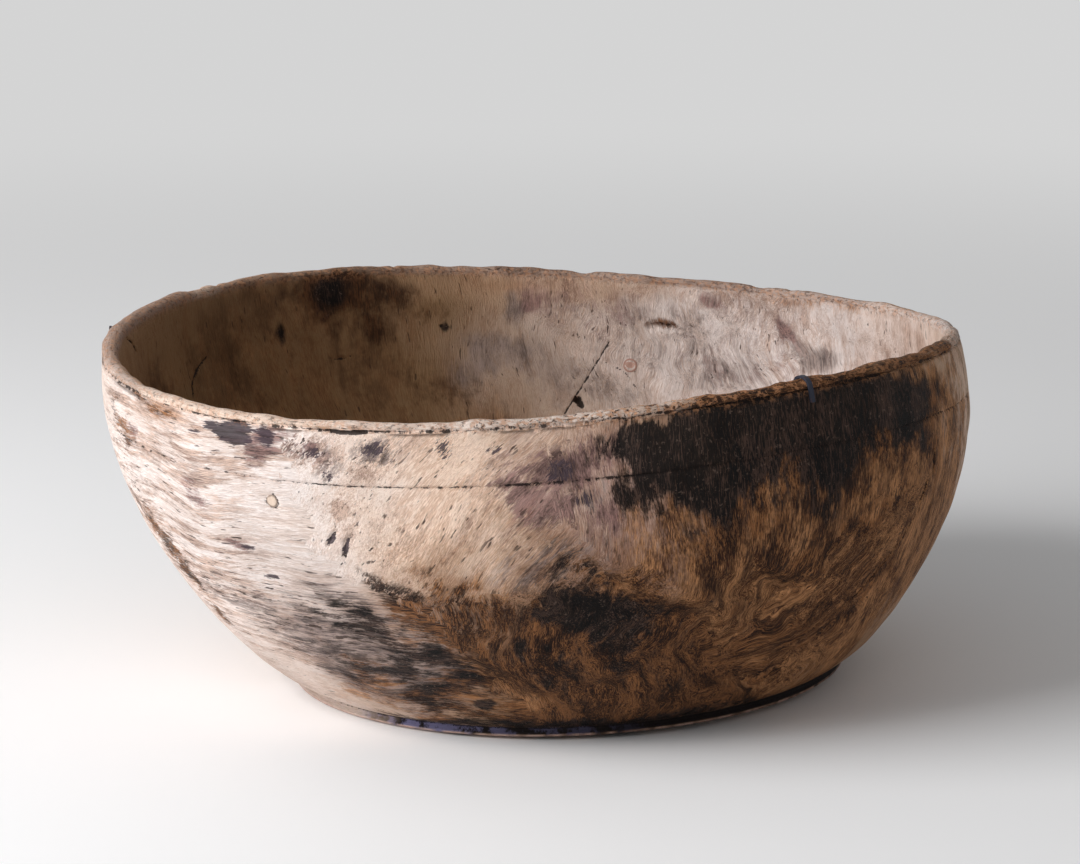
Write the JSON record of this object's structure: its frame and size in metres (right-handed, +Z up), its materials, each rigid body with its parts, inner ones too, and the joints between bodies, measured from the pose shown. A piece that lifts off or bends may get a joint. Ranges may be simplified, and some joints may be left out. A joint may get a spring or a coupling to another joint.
{
  "type": "turned wooden bowl",
  "caption": "Large turned wooden bowl with a beaded rim, incised turning lines, a low foot and old iron and wood repairs, for holding food or loose things.",
  "frame": {"origin": "middle of the flat underside of the foot, on the surface the bowl stands on", "axes": "+Z up out of the bowl's mouth, +X to the right and -Y towards the viewer in the pictured view"},
  "size_m": [0.4444, 0.4205, 0.1855],
  "materials": {
    "weathered_burl": "worn, dry, stained burl, pale on one side and dark brown on the other",
    "old_iron": "dull blue-grey wrought iron",
    "pale_peg_wood": "worn pale end grain",
    "red_plug_wood": "reddish-brown end grain"
  },
  "bodies": {
    "root": {"bowl_body": "weathered_burl", "rim_staple": "old_iron", "rim_nail": "old_iron", "wall_peg": "pale_peg_wood", "knot_plug": "red_plug_wood"}
  },
  "joints": []
}
